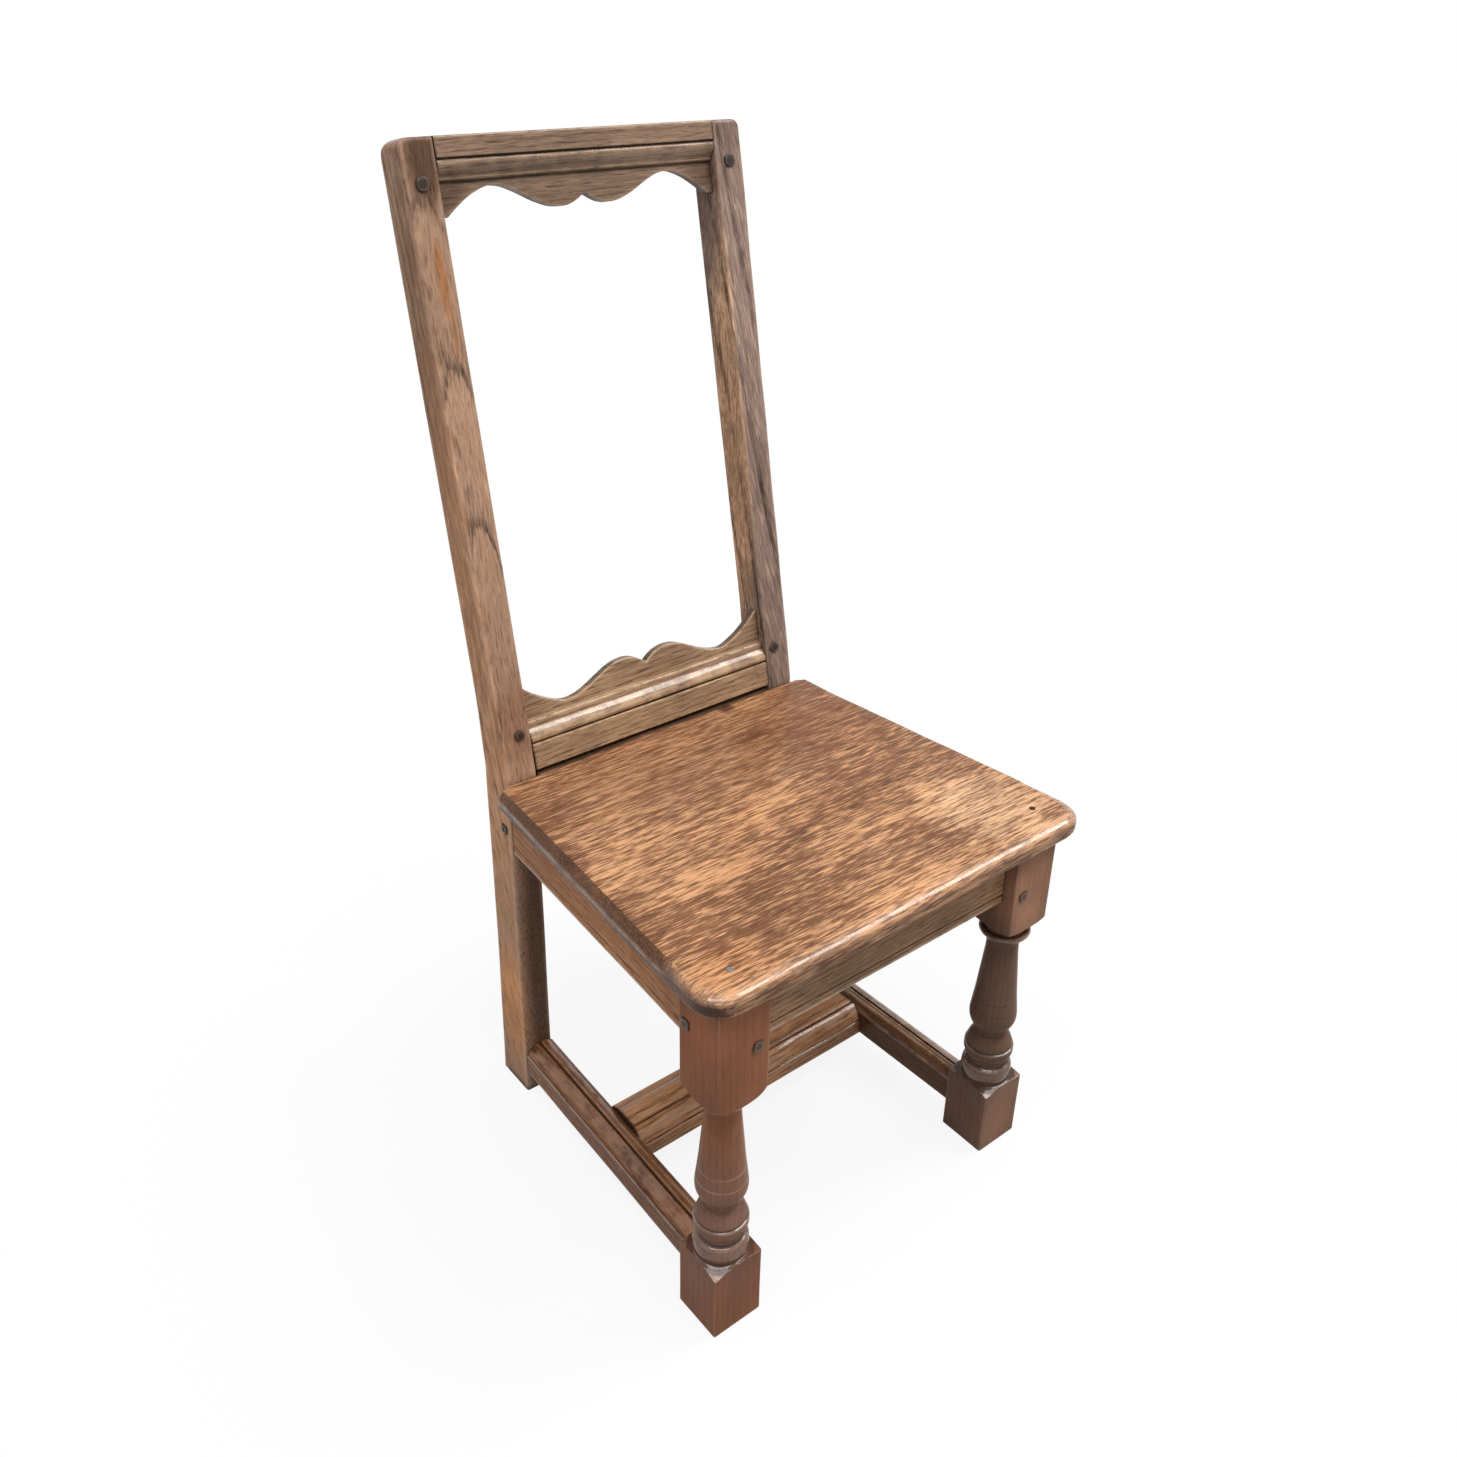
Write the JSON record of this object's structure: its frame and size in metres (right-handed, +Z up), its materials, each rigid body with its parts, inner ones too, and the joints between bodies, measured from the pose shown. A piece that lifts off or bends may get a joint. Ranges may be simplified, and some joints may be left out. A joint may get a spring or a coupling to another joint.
{
  "type": "childs chair",
  "caption": "Small joined oak chair for a child with a board seat, turned front legs, raked back stiles, scalloped moulded back rails, pegged aprons and an H stretcher.",
  "frame": {"origin": "on the floor, below the middle of the bounding box", "axes": "+Z up, -Y the front that a sitter faces, +X to the right of a viewer in front of the chair"},
  "size_m": [0.3388, 0.3885, 0.73],
  "materials": {
    "oak_seat": "oak, warm brown stain, waxed and worn",
    "oak_back": "oak, grey brown stain, waxed",
    "oak_leg": "oak, dark red brown stain, polished",
    "oak_apron": "oak, dark brown stain, waxed",
    "oak_stretcher": "oak, dark brown stain, waxed",
    "oak_peg": "oak, nearly black end grain",
    "iron_nail": "dark wrought iron"
  },
  "bodies": {
    "root": {"seat_board": "oak_seat", "back_stile_left": "oak_back", "back_stile_right": "oak_back", "crest_rail": "oak_back", "lower_back_rail": "oak_back", "front_leg_left": "oak_leg", "front_leg_right": "oak_leg", "front_apron": "oak_apron", "rear_apron": "oak_apron", "side_apron_left": "oak_apron", "side_apron_right": "oak_apron", "side_stretcher_left": "oak_stretcher", "side_stretcher_right": "oak_stretcher", "cross_stretcher": "oak_stretcher", "crest_peg_left": "oak_peg", "crest_peg_right": "oak_peg", "lower_rail_peg_left": "oak_peg", "lower_rail_peg_right": "oak_peg", "front_apron_peg_left": "oak_peg", "front_apron_peg_right": "oak_peg", "side_apron_front_peg_left": "oak_peg", "side_apron_front_peg_right": "oak_peg", "side_apron_rear_peg_left": "oak_peg", "side_apron_rear_peg_right": "oak_peg", "rear_apron_peg_left": "oak_peg", "rear_apron_peg_right": "oak_peg", "seat_nail_left": "iron_nail", "seat_nail_right": "iron_nail"}
  },
  "joints": []
}
